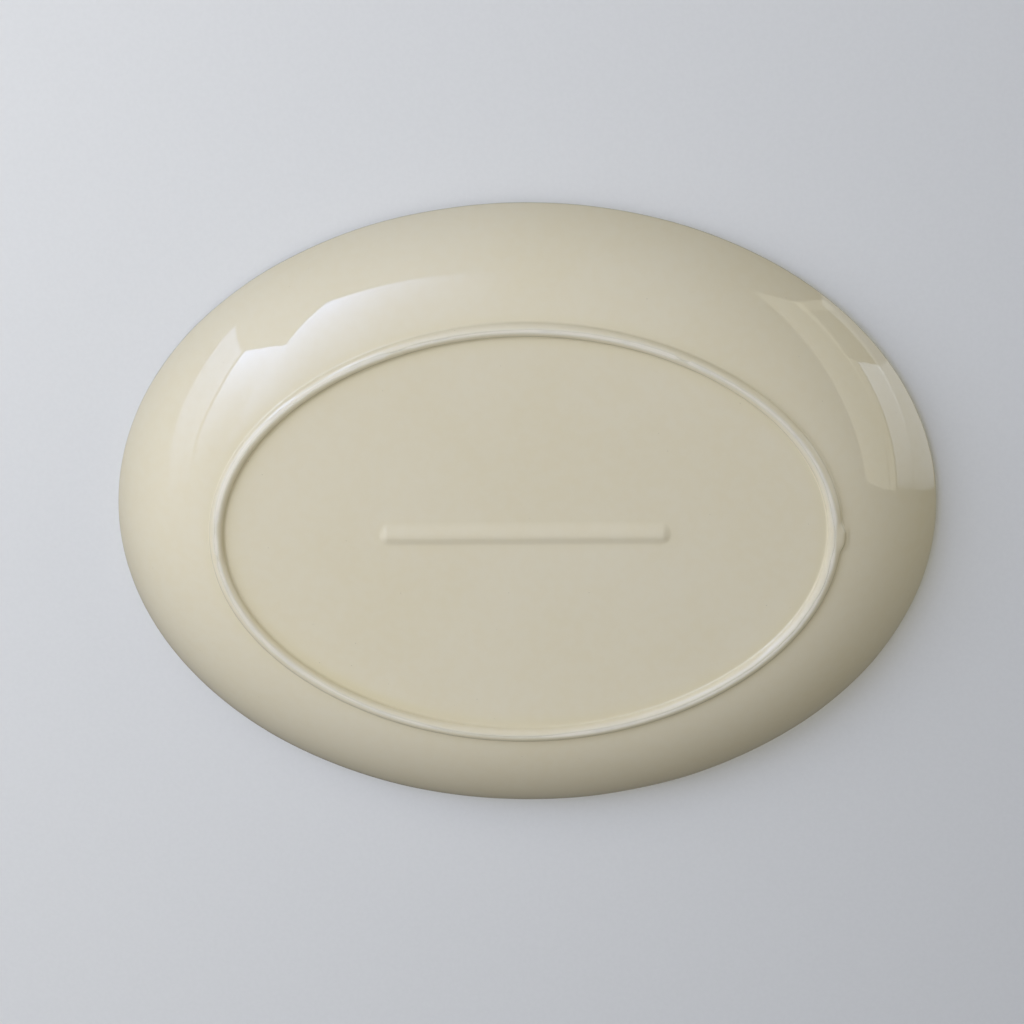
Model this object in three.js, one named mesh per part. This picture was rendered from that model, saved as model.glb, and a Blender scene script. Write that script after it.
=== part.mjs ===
// An oval earthenware serving plate, lying on its foot ring. Millimetres, +Z up, +X along its length.
// The origin is on the table, at the centre of the oval on which the foot stands.
//
// What it is made of:
//   clay_body    base panel, curved wall and lip, pressed in one from a slab of clay
//   foot_ring    low strip of clay under the base, whose crest is wiped bare to stand on
//   centre_rib   low bar of clay along the middle of the base, which keeps it from sagging in the kiln
//   outer_glaze  coat from the foot's outer side up the back, round the lip and over the whole face
//   base_glaze   coat inside the foot, over the base panel and the rib

import * as THREE from "three";

// Overall sizes, with the glaze
const LENGTH = 330;
const WIDTH = 255;
const HEIGHT = 36;

// Wall: in plan it runs out from the foot's crest line to the widest line of the lip
const WALL_RUN = 42.5;
const WALL_THICKNESS = 4.4;
const LIP_SLOPE_DEGREES = 62;

// Base panel and the hollow curve between the well's floor and the wall
const BASE_THICKNESS = 5.4;
const WELL_FILLET = 25;

// Foot ring: the flat crest, and the two flanks as widths in plan
const FOOT_HEIGHT = 2.8;
const FOOT_CREST = 1.4;
const FOOT_INNER_FLANK = 3.3;
const FOOT_OUTER_FLANK = 2.8;

// Rib under the base panel
const RIB_LENGTH = 117;
const RIB_WIDTH = 8.8;
const RIB_CREST = 1.2;
const RIB_HEIGHT = 1.2;

// Glaze: it thins where it stops, a little way up each flank of the foot
const GLAZE = 0.4;
const GLAZE_EDGE = 0.2;
const BARE_SHOULDER = 0.5;

// Facets
const ROUND_STEPS = 48;
const RIB_END_STEPS = ROUND_STEPS / 12;
const WALL_STEPS = 4;
const LIP_QUARTER_STEPS = 2;
const INNER_WALL_STEPS = 3;
const FILLET_STEPS = 2;
const FLANK_STEPS = 3;
const RIB_FLANK_STEPS = 2;

// Colours
const CLAY = new THREE.MeshStandardMaterial({ color: "#cfccc4", roughness: 0.9, metalness: 0 });
const CREAM_GLAZE = new THREE.MeshStandardMaterial({ color: "#ddd5bc", roughness: 0.12, metalness: 0 });

// The foot's crest line, and the levels of the bare clay
const crestHalfLength = LENGTH / 2 - WALL_RUN;
const crestHalfWidth = WIDTH / 2 - WALL_RUN;
const underside = FOOT_HEIGHT + GLAZE;
const wellFloor = FOOT_HEIGHT + BASE_THICKNESS - GLAZE;

const UP = Math.PI / 2;
const DOWN = -UP;
const lipSlope = THREE.MathUtils.degToRad(LIP_SLOPE_DEGREES);

// A spot on the plate's section: how far out from the crest line, how high, and the angle its surface faces.
const spot = (out, up, facing) => ({ out, up, facing });

// The same spot on the outside of a coat of glaze.
function coated({ out, up, facing }, thickness) {
  return spot(out + thickness * Math.cos(facing), up + thickness * Math.sin(facing), facing);
}

// Spots along an arc. The surface faces away from the arc's centre, or towards it where it is hollow.
function arc(centre, radius, from, to, steps, hollow = false) {
  return Array.from({ length: steps + 1 }, (_, i) => {
    const angle = from + ((to - from) * i) / steps;
    const facing = hollow ? angle + Math.PI : angle;
    return spot(centre.out + radius * Math.cos(angle), centre.up + radius * Math.sin(angle), facing);
  });
}

// Neighbouring arcs share their end spots, so each takes up where the last one stops.
const chain = (first, ...others) => [...first, ...others.flatMap((part) => part.slice(1))];

// A flank of a ridge is half a cosine wave, level at the crest and at the root. The share runs from 0 to 1.
function flankSpot(share, crest, width, height, side) {
  const rise = (height * (1 - Math.cos(Math.PI * share))) / 2;
  const slope = (height * Math.PI * Math.sin(Math.PI * share)) / (2 * width);
  return { run: crest / 2 + width * share, rise, facing: Math.atan2(-1, side * slope) };
}

// One flank of the foot from the edge of the bare band to the root. Side is 1 outside and -1 inside.
function footFlank(width, side) {
  const bare = BARE_SHOULDER / width;
  return Array.from({ length: FLANK_STEPS + 1 }, (_, i) => {
    const share = bare + ((1 - bare) * i) / FLANK_STEPS;
    const { run, rise, facing } = flankSpot(share, FOOT_CREST, width, underside, side);
    return spot(side * run, rise, facing);
  });
}

const outerFlank = footFlank(FOOT_OUTER_FLANK, 1);
const innerFlank = footFlank(FOOT_INNER_FLANK, -1);

// The wall's outside is one arc of bare clay, from the foot's outer root to the lip.
const lipCentre = spot(WALL_RUN - WALL_THICKNESS / 2, HEIGHT - WALL_THICKNESS / 2, 0);
const lipRadius = WALL_THICKNESS / 2 - GLAZE;
const wallFoot = outerFlank[FLANK_STEPS];
const wallTop = coated(spot(lipCentre.out, lipCentre.up, lipSlope + DOWN), lipRadius);
const chordOut = wallTop.out - wallFoot.out;
const chordUp = wallTop.up - wallFoot.up;
const halfTurn = lipSlope - Math.atan2(chordUp, chordOut);
const outerRadius = Math.hypot(chordOut, chordUp) / (2 * Math.sin(halfTurn));
const wallCentre = coated(wallTop, -outerRadius);

// The inside of the wall is parallel to the outside, and the fillet touches it and the well's floor.
const innerRadius = outerRadius - 2 * lipRadius;
const filletDrop = wallCentre.up - wellFloor - WELL_FILLET;
const filletReach = Math.sqrt((innerRadius - WELL_FILLET) ** 2 - filletDrop ** 2);
const filletCentre = spot(wallCentre.out + filletReach, wellFloor + WELL_FILLET, 0);
const filletTop = Math.atan2(-filletDrop, filletReach);

const wall = arc(wallCentre, outerRadius, lipSlope + DOWN - 2 * halfTurn, lipSlope + DOWN, WALL_STEPS);
const lip = chain(
  arc(lipCentre, lipRadius, lipSlope + DOWN, 0, 1),
  arc(lipCentre, lipRadius, 0, UP, LIP_QUARTER_STEPS),
  arc(lipCentre, lipRadius, UP, lipSlope + UP, LIP_QUARTER_STEPS),
);
const innerWall = arc(wallCentre, innerRadius, lipSlope + DOWN, filletTop, INNER_WALL_STEPS, true);
const fillet = arc(filletCentre, WELL_FILLET, filletTop, DOWN, FILLET_STEPS, true);

const bodySection = chain(wall, lip, innerWall, fillet);

// A ring of points round the plate at a spot of the section.
function ovalRing({ out, up }) {
  return Array.from({ length: ROUND_STEPS }, (_, i) => {
    const angle = (2 * Math.PI * i) / ROUND_STEPS;
    const x = (crestHalfLength + out) * Math.cos(angle);
    const y = (crestHalfWidth + out) * Math.sin(angle);
    return new THREE.Vector3(x, y, up);
  });
}

// A ring of points round the rib: two straight sides and two round ends, at a distance from its middle line.
function ribRing({ out, up }) {
  const straight = (RIB_LENGTH - RIB_WIDTH) / 2;
  const half = ROUND_STEPS / 2;
  const sideSteps = half - 2 * RIB_END_STEPS;
  return Array.from({ length: ROUND_STEPS }, (_, i) => {
    const end = i >= half / 2 && i < (3 * half) / 2 ? -1 : 1;
    const step = ((i + half / 2) % half) - half / 2;
    const turn = THREE.MathUtils.clamp(step / RIB_END_STEPS, -1, 1);
    const past = Math.max(Math.abs(step) - RIB_END_STEPS, 0) / (sideSteps / 2);
    const angle = (turn * Math.PI) / 2;
    const x = end * (straight * (1 - past) + out * Math.cos(angle));
    return new THREE.Vector3(x, end * out * Math.sin(angle), up);
  });
}

// Joins rings into one closed skin. A ring's points run anticlockwise seen from above, and the rings go
// from the underside outwards and up, so the faces point out. The ends close to a point, or to each other.
// A coat lies on its clay with the rings in the other order, so it splits each four-sided face the other way.
function loft(rings, { bottom, top, coat = false } = {}) {
  const points = rings.flat();
  const faces = [];
  const closedLoop = !bottom;
  const strips = closedLoop ? rings.length : rings.length - 1;
  for (let r = 0; r < strips; r++) {
    const low = r * ROUND_STEPS;
    const high = ((r + 1) % rings.length) * ROUND_STEPS;
    for (let i = 0; i < ROUND_STEPS; i++) {
      const next = (i + 1) % ROUND_STEPS;
      if (coat) faces.push(low + i, low + next, high + i, low + next, high + next, high + i);
      else faces.push(low + i, low + next, high + next, low + i, high + next, high + i);
    }
  }
  if (!closedLoop) {
    const last = (rings.length - 1) * ROUND_STEPS;
    const bottomPoint = points.push(bottom) - 1;
    const topPoint = points.push(top) - 1;
    for (let i = 0; i < ROUND_STEPS; i++) {
      const next = (i + 1) % ROUND_STEPS;
      faces.push(bottomPoint, next, i, topPoint, last + i, last + next);
    }
  }
  const geometry = new THREE.BufferGeometry().setFromPoints(points).setIndex(faces);
  geometry.computeVertexNormals();
  return geometry;
}

const onAxis = (up) => new THREE.Vector3(0, 0, up);

// Clay body
function clayBody() {
  return loft(bodySection.map(ovalRing), { bottom: onAxis(underside), top: onAxis(wellFloor) });
}

// Foot ring: along the crest, up the outer flank, back over the seat and down the inner flank
function footRing() {
  const crest = [spot(-FOOT_CREST / 2, 0, DOWN), spot(FOOT_CREST / 2, 0, DOWN)];
  return loft([...crest, ...outerFlank, ...innerFlank.toReversed()].map(ovalRing));
}

// Centre rib, from the edge of its crest to its root on the base panel
const ribSection = Array.from({ length: RIB_FLANK_STEPS + 1 }, (_, i) => {
  const width = (RIB_WIDTH - RIB_CREST) / 2;
  const { run, rise, facing } = flankSpot(i / RIB_FLANK_STEPS, RIB_CREST, width, RIB_HEIGHT, 1);
  return spot(run, underside - RIB_HEIGHT + rise, facing);
});

function centreRib() {
  return loft(ribSection.map(ribRing), { bottom: onAxis(ribSection[0].up), top: onAxis(underside) });
}

// A coat's outside over a section that starts at the bare band of the foot
function coatOver(section) {
  return section.map((place, i) => coated(place, i === 0 ? GLAZE_EDGE : GLAZE));
}

// Outer glaze: its clay side from the well's centre round to the bare band, and its outside back again
function outerGlaze() {
  const section = [...outerFlank.slice(0, -1), ...bodySection];
  const rings = [...section.toReversed(), ...coatOver(section)].map(ovalRing);
  return loft(rings, { bottom: onAxis(wellFloor), top: onAxis(wellFloor + GLAZE), coat: true });
}

// Base glaze: its outside from the rib's crest out to the bare band, and its clay side back again
function baseGlaze() {
  const ribCoat = ribSection.map((place) => coated(place, GLAZE));
  const rings = [
    ...ribCoat.map(ribRing),
    ...coatOver(innerFlank).toReversed().map(ovalRing),
    ...innerFlank.map(ovalRing),
    ...ribSection.toReversed().map(ribRing),
  ];
  return loft(rings, { bottom: onAxis(ribCoat[0].up), top: onAxis(ribSection[0].up), coat: true });
}

const plate = new THREE.Group();
plate.name = "oval_plate";

function addPiece(name, geometry, material) {
  const piece = new THREE.Mesh(geometry, material);
  piece.name = name;
  plate.add(piece);
}

addPiece("clay_body", clayBody(), CLAY);
addPiece("foot_ring", footRing(), CLAY);
addPiece("centre_rib", centreRib(), CLAY);
addPiece("outer_glaze", outerGlaze(), CREAM_GLAZE);
addPiece("base_glaze", baseGlaze(), CREAM_GLAZE);

export default plate;
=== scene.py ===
# %% [markdown]
# # A cream oval serving plate
#
# The plate is one pressed and fired clay body under two coats of cream glaze. The picture shows its back:
# the broad curved wall, the low foot ring with its bare crest, and the rib along the middle of the base.
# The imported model, called the frame here, gives the sizes and places, in metres, with +Z up from the table to
# the open face. Its own faces are coarse, so each piece is made again from the same section, only finer.

# %% Load the frame
import math

import bmesh
import bpy
import numpy as np
from mathutils import Matrix, Vector


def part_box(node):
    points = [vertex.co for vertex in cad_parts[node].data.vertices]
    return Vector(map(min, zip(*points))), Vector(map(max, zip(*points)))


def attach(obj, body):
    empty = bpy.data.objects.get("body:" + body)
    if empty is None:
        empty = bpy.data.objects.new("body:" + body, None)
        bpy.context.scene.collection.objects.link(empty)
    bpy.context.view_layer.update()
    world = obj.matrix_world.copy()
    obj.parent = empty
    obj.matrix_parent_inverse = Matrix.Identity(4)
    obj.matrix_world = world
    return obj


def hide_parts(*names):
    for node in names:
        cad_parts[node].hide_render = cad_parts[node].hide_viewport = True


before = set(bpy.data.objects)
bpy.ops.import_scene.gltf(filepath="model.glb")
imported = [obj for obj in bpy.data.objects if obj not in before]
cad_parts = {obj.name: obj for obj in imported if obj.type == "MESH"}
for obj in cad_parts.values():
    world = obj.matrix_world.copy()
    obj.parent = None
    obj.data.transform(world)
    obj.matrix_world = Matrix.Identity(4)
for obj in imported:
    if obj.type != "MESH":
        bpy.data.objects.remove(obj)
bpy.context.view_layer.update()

print("pieces in the frame:", ", ".join(sorted(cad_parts)))

# %% [markdown]
# ## The sizes
#
# The boxes of the frame's pieces hold most sizes: the coats give the length, width and height, and how much
# further they reach than the clay is the glaze's thickness. Some sizes lie inside a piece, such as
# the wall's thickness, where no box shows them. Those few are named here, as on a potter's drawing.

# %% Read the sizes from the frame's boxes
MM = 0.001

WALL = 4.4 * MM
BASE = 5.4 * MM
LIP_SLOPE = math.radians(62)
WELL_FILLET = 25 * MM
CREST = 1.4 * MM
OUTER_FLANK = 2.8 * MM
RIB_CREST = 1.2 * MM

glaze_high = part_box("outer_glaze")[1]
clay_low, clay_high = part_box("clay_body")
foot_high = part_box("foot_ring")[1]
rib_low, rib_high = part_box("centre_rib")

GLAZE = glaze_high.x - clay_high.x
UNDERSIDE = clay_low.z
WELL_FLOOR = UNDERSIDE + BASE - 2 * GLAZE
CREST_LENGTH = foot_high.x - OUTER_FLANK - CREST / 2
CREST_WIDTH = foot_high.y - OUTER_FLANK - CREST / 2
WALL_RUN = glaze_high.x - CREST_LENGTH

print(f"plate {2 * glaze_high.x:.3f} x {2 * glaze_high.y:.3f} x {glaze_high.z:.3f} m")
print(f"the glaze is {GLAZE / MM:.2f} mm thick")
print(f"the foot stands on an oval of {2 * CREST_LENGTH:.3f} x {2 * CREST_WIDTH:.3f} m")

# %% [markdown]
# ## The section
#
# Cut from the middle to the edge, the plate shows one thin line of clay that sweeps up from the foot, turns
# round the lip and comes back down to the flat well. An outline traced point by point would wobble, and
# shines on a glossy wall show every wobble. So the section is built as a mould maker draws it, from arcs that
# touch. Each spot on it holds how far out it lies from the foot's crest line, how high, and the way its
# surface faces.

# %% Draw the section from arcs
def arc(centre, radius, start, stop, steps, hollow=False):
    """Spots along an arc. The surface faces away from the centre, or towards it where it is hollow."""
    turn = start + (stop - start) * np.linspace(0, 1, steps + 1)
    facing = turn + (np.pi if hollow else 0)
    return np.column_stack([centre[0] + radius * np.cos(turn), centre[1] + radius * np.sin(turn), facing])


def heading(angle):
    """The direction of an angle in the section, as out and up."""
    return np.array([np.cos(angle), np.sin(angle)])


lip_start = LIP_SLOPE - np.pi / 2
lip_centre = np.array([WALL_RUN - WALL / 2, glaze_high.z - WALL / 2])
lip_radius = WALL / 2 - GLAZE
wall_foot = np.array([CREST / 2 + OUTER_FLANK, UNDERSIDE])
wall_top = lip_centre + lip_radius * heading(lip_start)
chord = wall_top - wall_foot
half_turn = LIP_SLOPE - np.arctan2(chord[1], chord[0])
wall_radius = np.hypot(*chord) / (2 * np.sin(half_turn))
wall_centre = wall_top - wall_radius * heading(lip_start)
face_radius = wall_radius - 2 * lip_radius

fillet_drop = wall_centre[1] - WELL_FLOOR - WELL_FILLET
fillet_reach = np.sqrt((face_radius - WELL_FILLET) ** 2 - fillet_drop**2)
fillet_centre = np.array([wall_centre[0] + fillet_reach, WELL_FLOOR + WELL_FILLET])
fillet_top = np.arctan2(-fillet_drop, fillet_reach)


def above_wall(steps):
    """The clay from the wall's top round the lip and down to the well's floor."""
    parts = [
        arc(lip_centre, lip_radius, lip_start, lip_start + np.pi, 2 * steps),
        arc(wall_centre, face_radius, lip_start, fillet_top, 2 * steps, hollow=True),
        arc(fillet_centre, WELL_FILLET, fillet_top, -np.pi / 2, steps, hollow=True),
    ]
    return np.vstack([parts[0], *(part[1:] for part in parts[1:])])


print(f"the wall is an arc of {wall_radius / MM:.1f} mm radius")
print(f"the well's floor is {WELL_FLOOR / MM:.1f} mm up")

# %% [markdown]
# ## From the section to a mesh
#
# A round plate could be spun with Blender's Screw modifier, but an oval has no axis to spin on. Here every
# spot of the section becomes a row of points round the plate: an oval that is larger by the spot's distance
# out. Rows joined by four-sided faces give a clean grid, with points close together only where the section
# bends. The rib has rows of its own shape, two straight sides with round ends.

# %% Rows of points round the plate and round the rib
AROUND = 480
# So many of a row's points go round each quarter turn of the rib's ends
END_STEPS = AROUND // 12

angles = np.arange(AROUND) * 2 * np.pi / AROUND


def oval(out, up):
    """Rows of points round the plate, from columns of distances out and heights."""
    x = (CREST_LENGTH + out) * np.cos(angles)
    y = (CREST_WIDTH + out) * np.sin(angles)
    return np.stack(np.broadcast_arrays(x, y, up), axis=-1)


def stadium(out, up):
    """Rows of points round the rib, from columns of distances from its middle line and heights."""
    half = AROUND // 2
    number = np.arange(AROUND)
    end = np.where((number >= half / 2) & (number < 1.5 * half), -1, 1)
    step = (number + half // 2) % half - half // 2
    turn = np.clip(step / END_STEPS, -1, 1) * np.pi / 2
    past = np.maximum(abs(step) - END_STEPS, 0) / (half / 2 - END_STEPS)
    x = end * ((rib_high.x - rib_high.y) * (1 - past) + out * np.cos(turn))
    y = end * out * np.sin(turn)
    return np.stack(np.broadcast_arrays(x, y, up), axis=-1)


print(f"{AROUND} points to a row")

# %% Join the rows into a closed skin
SAME_POINT = 1e-6


def skin(name, rows, loop=False, tips=(), marks=None):
    """A closed mesh over rows of points. A loop joins the last row to the first, and tips close the two ends.
    Marks are values for the rows' points, kept on the mesh for its finish."""
    count = len(rows)
    index = np.arange(count * AROUND).reshape(count, AROUND)
    high = np.roll(index, -1, axis=0) if loop else index[1:]
    low = index[: len(high)]
    faces = np.stack([low, np.roll(low, -1, 1), np.roll(high, -1, 1), high], -1).reshape(-1, 4).tolist()
    points = np.asarray(rows).reshape(-1, 3).tolist()
    for tip, ring in zip(tips, (index[0], index[-1])):
        points.append(tip)
        faces += [(len(points) - 1, a, b) for a, b in zip(ring.tolist(), np.roll(ring, -1).tolist())]
    mesh = bpy.data.meshes.new(name)
    mesh.from_pydata(points, [], faces)
    for label, values in (marks or {}).items():
        filled = np.zeros(len(points), np.float32)
        filled[: count * AROUND] = np.broadcast_to(values, (count, AROUND)).ravel()
        mesh.attributes.new(label, "FLOAT", "POINT").data.foreach_set("value", filled)
    work = bmesh.new()
    work.from_mesh(mesh)
    bmesh.ops.remove_doubles(work, verts=work.verts, dist=SAME_POINT)
    bmesh.ops.recalc_face_normals(work, faces=work.faces)
    work.to_mesh(mesh)
    open_edges = sum(not edge.is_manifold for edge in work.edges)
    work.free()
    mesh.polygons.foreach_set("use_smooth", [True] * len(mesh.polygons))
    piece = bpy.data.objects.new(name, mesh)
    bpy.context.scene.collection.objects.link(piece)
    print(f"{name}: {len(mesh.polygons)} faces, {open_edges} open edges")
    return piece


# %% [markdown]
# ## The foot ring
#
# The foot is a low strip of clay with a round back. It was laid by hand, so its line swings a little in and
# out of a true oval. Before firing, the potter wipes the crest bare, or the plate would stick to the kiln
# shelf. That is done by hand too: the edge of the glaze wanders, and here and there some glaze is left on the
# crest. The places are listed, because chance alone would put them elsewhere than on this plate.

# %% The foot's line and the edges of the glaze on it
FOOT_PLACE = -0.56 * MM
# How the line swings: swings round the plate, how far, and their start in degrees
FOOT_SWINGS = [(2, 0.37 * MM, -117), (4, 0.44 * MM, -5)]
BARE = 0.6 * MM
WIPE_WANDER = 0.15 * MM
# How an edge wanders: the number of waves, and the fewest and most turns of a wave round the plate
SLOW_WAVES, QUICK_WAVES = (5, 3, 14), (9, 20, 80)
# The places below are in degrees round the foot from +X towards +Y, with half-lengths in degrees
# Where the wiping ran off the middle, and how far out
OFF_MIDDLE = [(212, 28, 0.6 * MM), (140, 30, -0.3 * MM)]
# Where glaze is left on the crest, and how much of the bare band it covers
UNWIPED = [
    (0.5, 4.5, 1.0),
    (14, 4.5, 0.8),
    (44, 24, 0.45),
    (97, 13, 1.0),
    (121, 12, 0.5),
    (174.7, 1.3, 1.0),
    (183, 2.2, 0.7),
    (246.5, 2.4, 1.0),
    (259, 10, 0.5),
    (300.5, 1.5, 1.0),
    (335, 14, 0.45),
]

SEED = 4
chance = np.random.default_rng(SEED)


def wander(waves, slowest, fastest):
    """A smooth random line round the plate, between -1 and 1, that closes on itself."""
    turns = chance.integers(slowest, fastest, waves)
    starts = chance.uniform(0, 2 * np.pi, waves)
    return np.mean([np.sin(t * angles + s) for t, s in zip(turns, starts)], axis=0)


def stretch(middle, half):
    """1 over a stretch of the foot and 0 elsewhere, with soft ends, all in degrees."""
    away = (np.degrees(angles) - middle + 180) % 360 - 180
    return np.exp(-((away / half) ** 4))


def bare_half():
    """How wide the bare band is on one side of its middle, all round the plate."""
    half_width = BARE + WIPE_WANDER * (2 * wander(*SLOW_WAVES) + wander(*QUICK_WAVES))
    for middle, half, cover in UNWIPED:
        half_width = half_width * (1 - cover * stretch(middle, half))
    return half_width


foot_line = FOOT_PLACE + sum(
    swing * np.cos(turns * angles - math.radians(start)) for turns, swing, start in FOOT_SWINGS
)
off_middle = sum(shift * stretch(middle, half) for middle, half, shift in OFF_MIDDLE)
outer_edge, inner_edge = bare_half() + off_middle, bare_half() - off_middle
print(f"the bare band is {np.mean(outer_edge + inner_edge) / MM:.1f} mm wide on average")

# %% Make the foot ring
BEAD = 2.85 * MM
CLAY_BEAD = BEAD - GLAZE
BEAD_STEPS = 60


def clay_up(run):
    """How high the foot's clay is at this distance from the middle of its crest."""
    return CLAY_BEAD - np.sqrt(np.maximum(CLAY_BEAD**2 - run**2, 0))


bead_run = CLAY_BEAD * np.sin(np.linspace(-np.pi / 2, np.pi / 2, BEAD_STEPS + 1))[:, None]
bead_rows = oval(foot_line + bead_run, clay_up(bead_run))
seat_rows = oval(foot_line + CLAY_BEAD * np.array([[1], [-1]]), UNDERSIDE)
foot_ring = skin("foot_ring_clay", np.concatenate([bead_rows, seat_rows]), loop=True)

# %% [markdown]
# ## The pressed body and the rib
#
# Both are hidden under the glaze, so they need no more points than the inner side of the coats has. They
# share those points exactly, and nothing pokes through. The rib is a soft bar, whose flank is half a cosine
# wave.

# %% Make the clay body
HIDDEN_STEPS = 4

hidden_wall = arc(wall_centre, wall_radius, lip_start - 2 * half_turn, lip_start, 3 * HIDDEN_STEPS)
hidden = np.vstack([hidden_wall[:-1], above_wall(HIDDEN_STEPS)])
body_rows = oval(hidden[:, :1], hidden[:, 1:2])
clay_body = skin("pressed_clay_body", body_rows, tips=[(0, 0, UNDERSIDE), (0, 0, WELL_FLOOR)])

# %% Make the rib
RIB_STEPS = 12


def rib_spot(share):
    """Spots on the rib's flank, from the edge of its crest at 0 to its root at 1."""
    width = rib_high.y - RIB_CREST / 2
    rise = UNDERSIDE - rib_low.z
    up = rib_low.z + rise * (1 - np.cos(np.pi * share)) / 2
    return RIB_CREST / 2 + width * share, up


rib_out, rib_up = rib_spot(np.linspace(0, 1, RIB_STEPS + 1)[:, None])
middle_line = np.zeros((1, 1))
rib_rows = np.concatenate(
    [stadium(middle_line, rib_low.z), stadium(rib_out, rib_up), stadium(middle_line, UNDERSIDE)]
)
centre_rib = skin("base_rib_clay", rib_rows)

# %% [markdown]
# ## The coats of glaze
#
# Glaze melts in the kiln and settles: it gathers in hollows, draws thin over edges and thins out beside the
# bare clay. A Solidify modifier would give one thickness everywhere. Here the glaze has a surface of its own
# over the foot, softer than the clay's, and a slight unevenness all over, a few hundredths of a millimetre.
# It's too little to see by itself, but the shines wander over it as they do on real earthenware.

# %% How the glaze lies
UNEVEN = 0.05 * MM
WAVES = 12
# The shortest and longest wave, in millimetres
WAVE_SPAN = (28, 90)

wave_lengths = chance.uniform(*WAVE_SPAN, WAVES) * MM
wave_ways = chance.uniform(0, 2 * np.pi, WAVES)
wave_starts = chance.uniform(0, 2 * np.pi, WAVES)


def unevenness(x, y, start):
    """Soft unevenness over the plate, about -1 to 1. Another start gives another surface."""
    total = np.zeros(np.broadcast(x, y).shape)
    for length, way, shift in zip(wave_lengths, wave_ways, wave_starts):
        total += np.sin(2 * np.pi * (x * np.cos(way) + y * np.sin(way)) / length + shift + start * way)
    return total / np.sqrt(WAVES)


def smooth_step(value):
    """0 below 0, 1 above 1 and a soft rise between."""
    value = np.clip(value, 0, 1)
    return value * value * (3 - 2 * value)


def near(distance, reach):
    """1 at no distance, fading to 0 a little further than the reach."""
    return np.exp(-((distance / reach) ** 2))


def uneven_oval(out, up, facing, start, amount=1.0):
    """Rows of points round the plate on the glaze's outside, with this amount of the unevenness."""
    even = oval(out, up)
    depth = amount * UNEVEN * unevenness(even[..., 0], even[..., 1], start)
    return oval(out + depth * np.cos(facing), up + depth * np.sin(facing))


print(f"{WAVES} waves of {wave_lengths.min() / MM:.0f} to {wave_lengths.max() / MM:.0f} mm lie in the glaze")

# %% The glaze over the foot
FLANK_STEPS = 30
HIDDEN_ROWS = 6
ROOT_HOLLOW = 1.0 * MM
TAPER = 1.2 * MM
FILM = 0.03 * MM
FILM_TAPER = 0.3 * MM

to_hollow = BEAD + ROOT_HOLLOW


def over_foot(edge, steep, level, side, start):
    """Rows of points on the glaze from its edge on the foot to the wall or the base, with how far each is
    from both. It follows the foot's round back until it is steep, and then turns in a hollow until it is
    level."""
    back = BEAD * steep
    first = BEAD * np.arcsin(edge / BEAD)
    whole = back + ROOT_HOLLOW * (steep - level)
    length = first + (whole - first) * np.linspace(0, 1, FLANK_STEPS + 1)[:-1, None]
    on_bead = length < back
    slope = np.where(on_bead, length / BEAD, steep - (length - back) / ROOT_HOLLOW)
    hollow_run = to_hollow * np.sin(steep) - ROOT_HOLLOW * np.sin(slope)
    hollow_up = BEAD - to_hollow * np.cos(steep) + ROOT_HOLLOW * np.cos(slope)
    run = np.where(on_bead, BEAD * np.sin(slope), hollow_run)
    settled = np.where(on_bead, BEAD * (1 - np.cos(slope)), hollow_up)
    share = length / whole
    past = length - first
    clay = clay_up(np.minimum(run, CLAY_BEAD))
    film = FILM * smooth_step(past / FILM_TAPER) * (1 - share)
    up = clay + (settled - clay) * smooth_step(past / TAPER) - film
    return uneven_oval(foot_line + side * run, up, -np.pi / 2, start, share**2), past, whole - length


def under_glaze(edge, side):
    """Rows of points on the foot's clay, from its seat to the edge of the glaze."""
    stop = np.arcsin(edge / CLAY_BEAD)
    turn = np.pi / 2 + (stop - np.pi / 2) * np.linspace(0, 1, HIDDEN_ROWS + 1)[:, None]
    clay = oval(foot_line + side * CLAY_BEAD * np.sin(turn), CLAY_BEAD * (1 - np.cos(turn)))
    return np.concatenate([oval(foot_line + side * CLAY_BEAD, np.full((1, 1), UNDERSIDE)), clay])


print(f"the glaze leaves the foot in a hollow of {ROOT_HOLLOW / MM:.1f} mm radius")

# %% [markdown]
# ### The outer coat
#
# It runs from the foot's outer side up the back, round the lip and over the whole face. The hollow beside the
# foot touches both the foot's round back and the wall, so its centre is where two circles cross. On the
# foot's right end a lump of clay was left under the glaze when the strip was joined, and the coat swells over
# it.

# %% Make the outer coat
SHOWN_STEPS = 14
# Above 1, the wall's rows are closer together near the foot
WALL_CROWDING = 1.5
BACK, FACE = 0.0, 1.0

coat_radius = wall_radius + GLAZE
wall_x, wall_y = wall_centre[0] - foot_line, wall_centre[1] - BEAD
apart = np.hypot(wall_x, wall_y)
along_line = (to_hollow**2 - (coat_radius + ROOT_HOLLOW) ** 2 + apart**2) / (2 * apart)
aside = np.sqrt(to_hollow**2 - along_line**2)
hollow_x = (along_line * wall_x + aside * wall_y) / apart
hollow_y = (along_line * wall_y - aside * wall_x) / apart
outer_steep = np.arctan2(hollow_x, -hollow_y)
outer_level = np.arctan2(hollow_x - wall_x, wall_y - hollow_y)
flank_coat, outer_past, outer_left = over_foot(outer_edge, outer_steep, outer_level, 1, BACK)

wall_start = outer_level - np.pi / 2
wall_steps = np.linspace(0, 1, 3 * SHOWN_STEPS + 1)[:-1, None] ** WALL_CROWDING
wall_facing = wall_start + (lip_start - wall_start) * wall_steps
wall_out = wall_centre[0] + coat_radius * np.cos(wall_facing)
wall_up = wall_centre[1] + coat_radius * np.sin(wall_facing)
wall_coat = uneven_oval(wall_out, wall_up, wall_facing, BACK)

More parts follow.
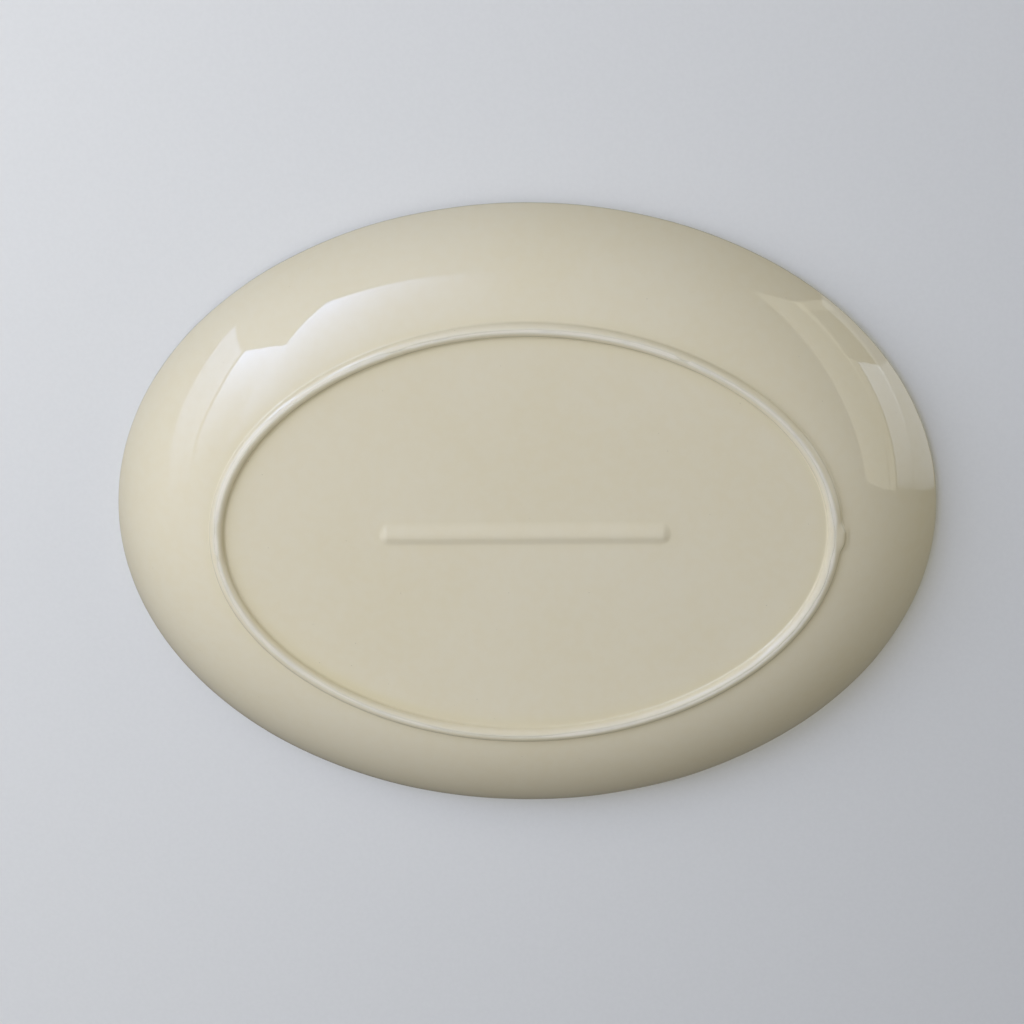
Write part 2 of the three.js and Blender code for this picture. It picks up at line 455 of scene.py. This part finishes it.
upper_out, upper_up, upper_facing = above_wall(SHOWN_STEPS).T[:, :, None]
upper_out = upper_out + GLAZE * np.cos(upper_facing)
upper_up = upper_up + GLAZE * np.sin(upper_facing)
on_face = upper_facing > lip_start + np.pi / 2
upper_coat = uneven_oval(upper_out, upper_up, upper_facing, np.where(on_face, FACE, BACK))
print(f"the wall takes {len(wall_coat)} rows, the lip and the flange of the face {len(upper_coat)}")

# %% Fill the well's floor, raise the lump and take the coat's inner side from the clay
FLOOR_RINGS = 12
LUMP = 1.4 * MM
LUMP_PLACE = 1.3 * MM
LUMP_HALF = 4.7 * MM
# Outwards from the foot's crest, where the lump starts and over what length it rises and falls
RISE_FROM, RISE_OVER = 0.5 * MM, 1.5 * MM
FALL_FROM, FALL_OVER = 3 * MM, 3 * MM

shrink = np.linspace(1, 0, FLOOR_RINGS + 1)[1:-1, None]
floor_edge = oval(upper_out[-1, 0], 0)
floor_x, floor_y = floor_edge[..., 0] * shrink, floor_edge[..., 1] * shrink
floor_up = WELL_FLOOR + GLAZE + UNEVEN * unevenness(floor_x, floor_y, FACE)
floor_coat = np.stack([floor_x, floor_y, floor_up], axis=-1)

outer_outside = np.concatenate([flank_coat, wall_coat, upper_coat, floor_coat])
from_crest = outer_outside[..., 0] - CREST_LENGTH
fall = smooth_step((from_crest - FALL_FROM) / FALL_OVER)
swell = smooth_step((from_crest - RISE_FROM) / RISE_OVER) * (1 - fall)
on_back = np.arange(len(outer_outside))[:, None] < len(flank_coat) + len(wall_coat)
from_lump = (outer_outside[..., 1] - LUMP_PLACE) / LUMP_HALF
outer_outside[..., 0] += LUMP * np.exp(-(from_lump**4)) * swell * on_back

outer_inside = np.concatenate([body_rows[::-1], under_glaze(outer_edge, 1)])
print(f"the outer coat is {len(outer_outside)} rows of {AROUND} points")

# %% Mark where the outer coat pools and thins, and close it
FOOT_POOL, FOOT_REACH, WALL_REACH = 0.35, 2 * MM, 2.5 * MM
WELL_POOL, WELL_REACH = 0.6, 14 * MM
THIN_REACH, LIP_REACH = 1.2 * MM, 2.2 * MM


def stacked(*parts):
    """Marks for parts of a coat, one above the other: a row of values for each row of points."""
    return np.concatenate([np.broadcast_to(part, (len(part), AROUND)) for part in parts])


def no_marks(rows):
    """Marks of 0 for these rows of points."""
    return np.zeros((len(rows), 1))


wall_section = np.column_stack([wall_out[:, 0], wall_up[:, 0]])
section = np.vstack([wall_section, np.column_stack([upper_out, upper_up])])
along = np.hypot(*np.diff(section, axis=0, prepend=section[:1]).T).cumsum()[:, None]
lip_at, floor_at = along[section[:, 1].argmax()], along[-1]
outer_coat = skin(
    "outer_glaze_coat",
    np.concatenate([outer_inside, outer_outside]),
    tips=[(0, 0, WELL_FLOOR), (0, 0, floor_up[-1].mean())],
    marks={
        "pool": stacked(
            no_marks(outer_inside),
            FOOT_POOL * near(outer_left, FOOT_REACH),
            FOOT_POOL * near(along, WALL_REACH) + WELL_POOL * near(along - floor_at, WELL_REACH),
            WELL_POOL * near((1 - shrink) * CREST_WIDTH, WELL_REACH),
        ),
        "thin": stacked(
            no_marks(outer_inside),
            1 - smooth_step(outer_past / THIN_REACH),
            near(along - lip_at, LIP_REACH),
            no_marks(floor_coat),
        ),
    },
)

# %% [markdown]
# ### The base coat
#
# It fills the oval inside the foot: over the rib, across the base panel and up the foot's inner flank. The
# glaze rounds the rib into a soft wave, longer on the side to which it ran and a little steeper at both ends,
# and below the rib's left end more of it gathered in the root of the foot. Between the rib and the foot the
# rows change slowly from the rib's outline to the oval.

# %% Make the base coat
PANEL_STEPS = 20
RIB_WAVE = 5.0 * MM
LONG_SIDE, SHORT_SIDE = 1.25, 0.86
ROUND_ENDS = 0.82
ON_CREST = 0.2 * MM
RIB_ROWS = 16
# Rows beside the root of the foot, in millimetres from it
ROOT_ROWS = [6, 3.5, 1.8, 0.8, 0]
UNDER = 2.0

panel_up = UNDERSIDE - GLAZE
base_steep = np.arccos((to_hollow - panel_up) / to_hollow)
flank_coat, inner_past, inner_left = over_foot(inner_edge, base_steep, 0.0, -1, UNDER)
inner_coat, inner_past, inner_left = flank_coat[::-1], inner_past[::-1], inner_left[::-1]

wave_out = np.linspace(0, RIB_WAVE, RIB_ROWS + 1)[:, None]
wave_rise = (panel_up - rib_low.z + ON_CREST) * (1 + np.cos(np.pi * wave_out / RIB_WAVE)) / 2
rib_coat = stadium(wave_out, panel_up - wave_rise)
rib_coat[..., 1] *= np.where(rib_coat[..., 1] < 0, LONG_SIDE, SHORT_SIDE)
straight = np.clip(rib_coat[..., 0], rib_high.y - rib_high.x, rib_high.x - rib_high.y)
rib_coat[..., 0] = straight + ROUND_ENDS * (rib_coat[..., 0] - straight)

from_root = np.array(ROOT_ROWS)[:, None] * MM
root_coat = oval(foot_line - to_hollow * np.sin(base_steep) - from_root, panel_up)
mixing = np.linspace(0, 1, PANEL_STEPS + 1)[1:-1, None, None]
panel = rib_coat[-1] * (1 - mixing) + root_coat[0] * mixing
flat_coat = np.concatenate([rib_coat, panel, root_coat])
flat_coat[..., 2] -= UNEVEN * unevenness(flat_coat[..., 0], flat_coat[..., 1], UNDER)

base_inside = np.concatenate([under_glaze(inner_edge, -1)[::-1], rib_rows[-2::-1]])
print(f"the base coat is {len(flat_coat) + len(inner_coat)} rows of {AROUND} points")

# %% Mark where the base coat pools and thins, and close it
RIB_POOL, RIB_REACH = 0.15, 1.5 * MM
ROOT_POOL, ROOT_REACH = 0.6, 3.2 * MM
# Where more glaze gathered: how much more, its middle round the foot and its half-length
MORE_POOL, MORE_PLACE, MORE_HALF = 0.6, math.radians(128), math.radians(18)

from_more = (angles - MORE_PLACE + np.pi) % (2 * np.pi) - np.pi
root_pool = ROOT_POOL + MORE_POOL * near(from_more, MORE_HALF)
base_coat = skin(
    "base_glaze_coat",
    np.concatenate([flat_coat, inner_coat, base_inside]),
    marks={
        "pool": stacked(
            RIB_POOL * near(wave_out - RIB_WAVE, RIB_REACH),
            no_marks(panel),
            root_pool * near(from_root, ROOT_REACH),
            root_pool * near(inner_left, FOOT_REACH),
            no_marks(base_inside),
        ),
        "thin": stacked(
            no_marks(flat_coat),
            1 - smooth_step(inner_past / THIN_REACH),
            no_marks(base_inside),
        ),
    },
)

# %% [markdown]
# ## The finishes
#
# Two finishes show: cream glaze nearly everywhere, and bare fired clay on the crest of the foot. A single
# colour would look like plastic, and a photograph wrapped round the plate would stretch. So each finish is a
# small set of nodes that work on the place in metres: broad clouds, fine mottling, a few specks and pinholes.
# The glaze is a hard, smooth glass, so its gloss comes from a low roughness. The numbers that stay the same
# all over sit on the shader itself.

# %% Helpers that add nodes
def add(tree, kind, links=None, **settings):
    """A node with its settings, and its inputs linked or set by name or number."""
    made = tree.nodes.new(kind)
    for key, value in settings.items():
        setattr(made, key, value)
    for key, value in (links or {}).items():
        if isinstance(value, bpy.types.NodeSocket):
            tree.links.new(value, made.inputs[key])
        else:
            made.inputs[key].default_value = value
    return made


def maths(tree, operation, *values):
    """The result of a sum on values or on other results."""
    return add(tree, "ShaderNodeMath", dict(enumerate(values)), operation=operation).outputs[0]


def times(tree, one, other):
    """The product of two values."""
    return maths(tree, "MULTIPLY", one, other)


def cloud(tree, where, scale, detail):
    """Noise of this many lumps to the metre, from 0 to 1."""
    return add(tree, "ShaderNodeTexNoise", {"Vector": where, "Scale": scale, "Detail": detail}).outputs["Fac"]


def spread(tree, value, low, high, to_low=0.0, to_high=1.0):
    """A value's stretch from low to high, spread to another stretch and kept inside it."""
    links = {0: value, 1: low, 2: high, 3: to_low, 4: to_high}
    return add(tree, "ShaderNodeMapRange", links, interpolation_type="SMOOTHSTEP").outputs[0]


def tint(tree, share, one, other):
    """One colour where the share is 0, and the other where it is 1."""
    return add(tree, "ShaderNodeMix", {0: share, 6: one, 7: other}, data_type="RGBA").outputs[2]


def dots(tree, where, scale, radius, core):
    """Round dots in places of chance, 1 in their cores. The scale is cells to the metre, the radius is in
    metres and the core is a share of it."""
    cells = add(tree, "ShaderNodeTexVoronoi", {"Vector": where, "Scale": scale})
    return spread(tree, cells.outputs["Distance"], radius * scale * core, radius * scale, 1.0, 0.0)


def finish(name):
    """An empty material: its tree, its shader and the place on the object in metres."""
    material = bpy.data.materials.new(name)
    material.use_nodes = True
    tree = material.node_tree
    where = tree.nodes.new("ShaderNodeTexCoord").outputs["Object"]
    return material, tree, tree.nodes["Principled BSDF"], where


# %% [markdown]
# ### Cream glaze
#
# The cream is a little warmer and deeper where the glaze gathers, in the root of the foot and round the well,
# and paler where it draws thin. A few iron specks came from the clay, and pinholes are where gas left the
# melt. Specks are only colour. Pinholes are dents, so they go into the bump, where they catch the light.

# %% Make the cream glaze
CREAM = (0.75, 0.675, 0.49, 1)
WARM_CREAM = (0.74, 0.66, 0.465, 1)
POOLED_CREAM = (0.72, 0.635, 0.41, 1)
THIN_CREAM = (0.77, 0.725, 0.58, 1)
SPECK = (0.33, 0.27, 0.18, 1)
# Lumps or dots to the metre
CLOUDS, MOTTLES, GLOSS_CLOUDS, PEEL = 16, 240, 55, 420
SPECKS, PINHOLES = 130, 170
SPECK_RADIUS, PINHOLE_RADIUS = 0.22 * MM, 0.3 * MM
# How strongly each tint shows
MOTTLED, POOLED, THINNED, SPECKED = 0.35, 0.8, 0.8, 0.7
SMOOTHEST, ROUGHEST = 0.02, 0.05
LEAD_GLAZE_IOR = 1.7
PEEL_HEIGHT, PINHOLE_DEPTH = 0.02 * MM, 0.06 * MM


def make_glaze():
    """The cream glaze, tinted by the marks of pooled and thin glaze on the coats."""
    material, tree, shader, where = finish("cream_glaze")
    pool = add(tree, "ShaderNodeAttribute", attribute_name="pool").outputs["Fac"]
    thin = add(tree, "ShaderNodeAttribute", attribute_name="thin").outputs["Fac"]
    clouds = spread(tree, cloud(tree, where, CLOUDS, detail=3), low=0.35, high=0.65)
    mottle = spread(tree, cloud(tree, where, MOTTLES, detail=4), low=0.3, high=0.7, to_high=0.5)
    cream = tint(tree, clouds, CREAM, WARM_CREAM)
    cream = tint(tree, times(tree, mottle, MOTTLED), cream, THIN_CREAM)
    cream = tint(tree, times(tree, pool, POOLED), cream, POOLED_CREAM)
    cream = tint(tree, times(tree, thin, THINNED), cream, THIN_CREAM)
    specks = times(tree, dots(tree, where, SPECKS, SPECK_RADIUS, core=0.3), SPECKED)
    cream = tint(tree, specks, cream, SPECK)
    tree.links.new(cream, shader.inputs["Base Color"])

    sheen = cloud(tree, where, GLOSS_CLOUDS, detail=4)
    gloss = spread(tree, sheen, low=0.3, high=0.75, to_low=SMOOTHEST, to_high=ROUGHEST)
    tree.links.new(gloss, shader.inputs["Roughness"])
    shader.inputs["IOR"].default_value = LEAD_GLAZE_IOR

    pinholes = dots(tree, where, PINHOLES, PINHOLE_RADIUS, core=0.2)
    peel = cloud(tree, where, PEEL, detail=1)
    soft = add(tree, "ShaderNodeBump", {"Height": peel, "Strength": 0.25, "Distance": PEEL_HEIGHT}).outputs[0]
    links = {"Height": pinholes, "Strength": 0.5, "Distance": PINHOLE_DEPTH, "Normal": soft}
    bumps = add(tree, "ShaderNodeBump", links, invert=True).outputs[0]
    tree.links.new(bumps, shader.inputs["Normal"])
    return material


cream_glaze = make_glaze()
print(f"{cream_glaze.name}: {len(cream_glaze.node_tree.nodes)} nodes")

# %% [markdown]
# ### Bare clay
#
# Fired earthenware is matt and off-white, with a fine grain, and the crest that slides over tables is scuffed
# grey. One noise gives the scuffs, which are rubbed a little smoother, and a much finer one gives both the
# grain's colour and its bumps.

# %% Make the bare clay
CLAY = (0.79, 0.73, 0.59, 1)
GREY_CLAY = (0.72, 0.675, 0.555, 1)
# Lumps to the metre
SCUFFS, GRAIN = 90, 2600
DULLEST, RUBBED = 0.9, 0.7
GRAIN_TINT = 0.4
GRAIN_HEIGHT = 0.05 * MM


def make_clay():
    """The bare clay of the foot's crest."""
    material, tree, shader, where = finish("bare_clay")
    scuffs = spread(tree, cloud(tree, where, SCUFFS, detail=4), low=0.42, high=0.68)
    grain = cloud(tree, where, GRAIN, detail=2)
    clay = tint(tree, scuffs, CLAY, GREY_CLAY)
    clay = tint(tree, spread(tree, grain, low=0.55, high=0.8, to_high=GRAIN_TINT), clay, GREY_CLAY)
    tree.links.new(clay, shader.inputs["Base Color"])
    dull = spread(tree, scuffs, low=0.0, high=1.0, to_low=DULLEST, to_high=RUBBED)
    tree.links.new(dull, shader.inputs["Roughness"])
    links = {"Height": grain, "Strength": 0.4, "Distance": GRAIN_HEIGHT}
    tree.links.new(add(tree, "ShaderNodeBump", links).outputs[0], shader.inputs["Normal"])
    return material


bare_clay = make_clay()
print(f"{bare_clay.name}: {len(bare_clay.node_tree.nodes)} nodes")

# %% [markdown]
# ## Put the pieces in the frame's place
#
# Every piece stands for one node of the frame and rides on the plate's only body. The slot says which of
# the record's finishes it takes.

# %% Dress the pieces
DRESSED = [
    (clay_body, "clay_body", bare_clay, "clay"),
    (foot_ring, "foot_ring", bare_clay, "clay"),
    (centre_rib, "centre_rib", bare_clay, "clay"),
    (outer_coat, "outer_glaze", cream_glaze, "cream_glaze"),
    (base_coat, "base_glaze", cream_glaze, "cream_glaze"),
]
for piece, node, material, slot in DRESSED:
    piece.data.materials.append(material)
    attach(piece, "root")
    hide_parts(node)
    print(f"{piece.name} stands for {node}, in {material.name}")

# %% [markdown]
# ## The camera
#
# The picture is taken from a little over a metre away with a long lens, so the far rim looks hardly smaller
# than the near one. The camera looks at the plate's back, tilted so that the top edge leans away. It is
# placed from the plate's side: turn the plate's back to the camera, tilt, turn and roll it as it is
# seen, and move it off the middle of the picture.

# %% Place the camera
SENSOR_MM = 36
FIELD_OF_VIEW = math.radians(17)
TILT = math.radians(19.46)
TURN = math.radians(-1.46)
ROLL = math.radians(0.81)
RIGHT_OF_MIDDLE, ABOVE_MIDDLE, DISTANCE = 0.00506, -0.0104, 1.351

plate_turn = Matrix.Rotation(ROLL, 3, "Z") @ Matrix.Rotation(TILT, 3, "X") @ Matrix.Rotation(TURN, 3, "Y")
camera_axes = Matrix.Rotation(math.pi, 3, "X") @ plate_turn.transposed()
eye = camera_axes @ Vector((-RIGHT_OF_MIDDLE, -ABOVE_MIDDLE, DISTANCE))

lens = bpy.data.cameras.new("camera")
lens.sensor_width = SENSOR_MM
lens.lens = SENSOR_MM / 2 / math.tan(FIELD_OF_VIEW / 2)
camera = bpy.data.objects.new("camera", lens)
camera.matrix_world = Matrix.Translation(eye) @ camera_axes.to_4x4()
bpy.context.scene.collection.objects.link(camera)
bpy.context.scene.camera = camera
print(f"the camera stands at {tuple(round(c, 3) for c in eye)} m with a {lens.lens:.0f} mm lens")

# %% [markdown]
# ## The floors
#
# A plate is looked at from above and from below, and no one floor serves both. So there are two, and each
# shows only from its own side: from behind its surface is clear. One is the table under the foot. It sweeps
# up far behind the plate, as a photographer's paper does. The other is the floor on which the plate lies face
# down when its back is shown. Neither sends light to the plate, so each picture is lit by its lamps alone.

# %% The floors' paper
PALE = (0.72, 0.715, 0.685, 1)
GRAIN_SHADE = 0.985
PAPER_GRAIN = 600
CLEAR = (1, 1, 1, 1)


def make_paper(name, glow_share):
    """Pale paper, seen from its front only. The share glows by itself. The rest takes light and shadow."""
    material = bpy.data.materials.new(name)
    material.use_nodes = True
    tree = material.node_tree
    tree.nodes.remove(tree.nodes["Principled BSDF"])
    where = tree.nodes.new("ShaderNodeTexCoord").outputs["Object"]
    grain = spread(tree, cloud(tree, where, PAPER_GRAIN, detail=2), low=0.3, high=0.7)
    paper = tint(tree, grain, PALE, tuple(GRAIN_SHADE * c for c in PALE[:3]) + (1,))
    matt = add(tree, "ShaderNodeBsdfDiffuse", {"Color": paper})
    glow = add(tree, "ShaderNodeEmission", {"Color": paper})
    front = add(tree, "ShaderNodeMixShader", {0: glow_share, 1: matt.outputs[0], 2: glow.outputs[0]})
    clear = add(tree, "ShaderNodeBsdfTransparent", {"Color": CLEAR})
    behind = tree.nodes.new("ShaderNodeNewGeometry").outputs["Backfacing"]
    sided = add(tree, "ShaderNodeMixShader", {0: behind, 1: front.outputs[0], 2: clear.outputs[0]})
    tree.links.new(sided.outputs[0], tree.nodes["Material Output"].inputs["Surface"])
    print(f"{name}: {len(tree.nodes)} nodes")
    return material


table_paper = make_paper("table_paper", glow_share=0.55)
floor_paper = make_paper("floor_paper", glow_share=0.0)

# %% Make the floors
GAP = 0.1 * MM
FLOOR_RADIUS, SWEEP, SWEEP_HEIGHT = 2.4, 0.8, 3.0
MIDDLE_HOLE = 0.5 * MM
FLOOR_SIDES, SWEEP_SPOTS = 96, 12


def make_floor(name, profile, material):
    """A round floor from a profile of radius and height, facing up where the radius grows."""
    around = np.linspace(0, 2 * np.pi, FLOOR_SIDES, endpoint=False)
    points = [(r * np.cos(a), r * np.sin(a), z) for r, z in profile for a in around]
    faces = []
    for row in range(len(profile) - 1):
        near_ring, far_ring = row * FLOOR_SIDES, (row + 1) * FLOOR_SIDES
        for i in range(FLOOR_SIDES):
            after = (i + 1) % FLOOR_SIDES
            faces.append((near_ring + i, far_ring + i, far_ring + after, near_ring + after))
    mesh = bpy.data.meshes.new(name)
    mesh.from_pydata(points, [], faces)
    mesh.polygons.foreach_set("use_smooth", [True] * len(mesh.polygons))
    mesh.materials.append(material)
    floor = bpy.data.objects.new(name, mesh)
    bpy.context.scene.collection.objects.link(floor)
    floor.visible_diffuse = False
    floor.visible_glossy = False
    floor.visible_transmission = False
    floor.visible_shadow = False
    return floor


sweep = [
    (FLOOR_RADIUS + SWEEP * math.sin(t), SWEEP * (1 - math.cos(t)) - GAP)
    for t in np.linspace(0, math.pi / 2, SWEEP_SPOTS)
]
make_floor("table", [(MIDDLE_HOLE, -GAP), *sweep, (FLOOR_RADIUS + SWEEP, SWEEP_HEIGHT)], table_paper)
lip_level = glaze_high.z + GAP
make_floor("face_down_floor", [(FLOOR_RADIUS, lip_level), (MIDDLE_HOLE, lip_level)], floor_paper)
print(f"floors at {-GAP:.4f} and {lip_level:.4f} m")

# %% [markdown]
# ## The light
#
# A glossy plate shows its lamps, so softboxes are placed by the shine that each gives. A picture of a room
# round the scene would light the plate too, but no shine in it could be moved alone. From the plate, the
# softboxes stand at so many degrees to the side of the camera and so many up.
#
# Three on the left make the long shine on the upper left of the wall. The narrow gap between two of them is
# its thin dark line, and they grow dimmer downwards, as light from a window does. Weaker ones on the right
# make the other shine, with a dimmer slot in it. Their slanting edges give the shines theirs. Last come near
# softboxes without a shine: they light the back more on its left, as a window close by would.

# %% A softbox seen from the plate
SOFTBOX_AWAY = 5.0
LEFT_OVER = 0.14
WHITE = (1.0, 1.0, 1.0)


def shape_glow(lamp, fade_right, fade_down, slant, rise, soft):
    """Lets a softbox grow dimmer to its right, down it and to all its edges, by powers, and cuts its top and
    bottom on a slant."""
    lamp.use_nodes = True
    tree = lamp.node_tree
    place = tree.nodes.new("ShaderNodeNewGeometry").outputs["Parametric"]
    split = add(tree, "ShaderNodeSeparateXYZ", {0: place})
    across, height = split.outputs[0], split.outputs[1]
    to_right = maths(tree, "MULTIPLY_ADD", across, LEFT_OVER - 1, 1.0)
    over_bottom = maths(tree, "MULTIPLY_ADD", across, -rise, height)
    under_top = maths(tree, "LESS_THAN", height, maths(tree, "MULTIPLY_ADD", across, -slant, 1.0))
    glow = times(tree, under_top, maths(tree, "GREATER_THAN", over_bottom, 0.0))
    glow = times(tree, glow, maths(tree, "POWER", to_right, fade_right))
    glow = times(tree, glow, maths(tree, "POWER", over_bottom, fade_down))
    for share in (across, height):
        # 0 at two edges and 1 midway between them
        from_edges = times(tree, share, maths(tree, "SUBTRACT", 4.0, times(tree, share, 4.0)))
        glow = times(tree, glow, maths(tree, "POWER", from_edges, soft))
    tree.links.new(glow, tree.nodes["Emission"].inputs["Strength"])


def softbox(
    name,
    axes,
    side,
    up,
    glow,
    away=SOFTBOX_AWAY,
    colour=WHITE,
    shine=True,
    fade_right=0.0,
    fade_down=0.0,
    slant=0.0,
    rise=0.0,
    soft=0.0,
):
    """An area lamp seen from the plate between two angles to the side and two angles up, in degrees.
    The glow is its brightness, where 1 is white."""
    a, e = (math.radians(sum(pair) / 2) for pair in (side, up))
    toward = axes @ Vector((math.sin(a) * math.cos(e), math.sin(e), math.cos(a) * math.cos(e)))
    across = (axes @ Vector((0, 1, 0))).cross(toward).normalized()
    turned = Matrix((across, toward.cross(across), toward)).transposed()
    lamp = bpy.data.lights.new(name, "AREA")
    lamp.shape = "RECTANGLE"
    lamp.size, lamp.size_y = (
        2 * away * math.tan(math.radians(pair[1] - pair[0]) / 2) for pair in (side, up)
    )
    lamp.energy = glow * math.pi * lamp.size * lamp.size_y
    lamp.color = colour
    shape_glow(lamp, fade_right, fade_down, slant, rise, soft)
    holder = bpy.data.objects.new(name, lamp)
    holder.matrix_world = Matrix.Translation(toward * away) @ turned.to_4x4()
    holder.visible_camera = False
    holder.visible_glossy = shine
    bpy.context.scene.collection.objects.link(holder)
    print(f"{name}: {lamp.size:.2f} x {lamp.size_y:.2f} m, glow {glow}")
    return holder


# %% Place the softboxes for the back
SKY = (0.67, 0.88, 1.52)
PALE_SKY = (0.92, 1.0, 1.14)
DAY = (1.1, 1.05, 0.82)

LONG_SHINE = {
    "left_strip": dict(
        side=(-74.5, -56.3), up=(-20, 33.5), glow=1.45, fade_right=-0.2, fade_down=0.9, slant=0.26
    ),
    "left": dict(side=(-54.6, -37.6), up=(-20, 20), glow=3.95, fade_down=1.7, slant=0.19),
    "front_left": dict(side=(-37.6, -5.0), up=(-20, 30.7), glow=3.85, fade_right=2.0, fade_down=0.8),
}
NEAR_PART = {
    "right_near": dict(side=(53.6, 74), up=(-18.8, 41.5), glow=0.68, rise=0.066),
    "right_mid": dict(side=(74, 79.4), up=(-14.8, 24), glow=0.76, rise=0.03),
    "right_slot": dict(side=(74, 97), up=(24, 39), glow=0.36),
    "right_over": dict(side=(74, 97), up=(39, 42), glow=0.7),
}
FAR_PART = {
    "right_low": dict(side=(80.4, 97), up=(-12.6, 24), glow=1.7, fade_down=0.42, rise=0.104),
    "right_far": dict(side=(97, 126), up=(-9, 24), glow=1.25, fade_down=0.3, rise=0.19),
    "right_top": dict(side=(97, 126), up=(24, 42), glow=0.65),
}
NO_SHINE = {
    "near_left": dict(side=(-75, -35), up=(-10, 30), glow=2.02, away=0.8),
    "near_front": dict(side=(-35, 15), up=(0, 40), glow=1.5, away=1.0),
    "near_low": dict(side=(-60, -10), up=(-60, -25), glow=1.4, away=0.8),
}
for group, colour in ((LONG_SHINE, SKY), (NEAR_PART, DAY), (FAR_PART, PALE_SKY)):
    for name, settings in group.items():
        softbox(name, camera_axes, colour=colour, **settings)
for name, settings in NO_SHINE.items():
    softbox(name, camera_axes, shine=False, **settings)

# %% [markdown]
# ### The light on the face
#
# The face looks away from the camera and has two softboxes of its own. A large one would send a bright line
# round the rim of the main picture. So a small one, hidden behind the plate there, gives the shine, and a
# broad one without a shine gives most of the light. Both grow dimmer to their edges.

# %% Place the softboxes for the face
FACE_AWAY = 0.7
FACE_LIGHTS = {
    "face": dict(side=(-20, 20), up=(-16, 16), glow=5.0),
    "face_fill": dict(side=(-34, 34), up=(-28, 28), glow=4.8, colour=PALE_SKY, shine=False),
}
behind_plate = camera_axes @ Matrix.Rotation(math.pi, 3, "Y")
for name, settings in FACE_LIGHTS.items():
    softbox(name, behind_plate, away=FACE_AWAY, soft=1.0, **settings)

# %% [markdown]
# ### The light from all round
#
# A room's walls send some light back from every side. A dim, even world stands for them and keeps the shadows
# soft.

# %% Light the studio from all round
AROUND_GLOW = 0.145
AROUND_COLOUR = (1.03, 1.0, 0.9, 1)

world = bpy.data.worlds.new("studio")
world.use_nodes = True
world.node_tree.nodes["Background"].inputs["Color"].default_value = AROUND_COLOUR
world.node_tree.nodes["Background"].inputs["Strength"].default_value = AROUND_GLOW
bpy.context.scene.world = world
bpy.context.scene.view_settings.view_transform = "Standard"
print(f"the studio glows at {AROUND_GLOW} from all round")
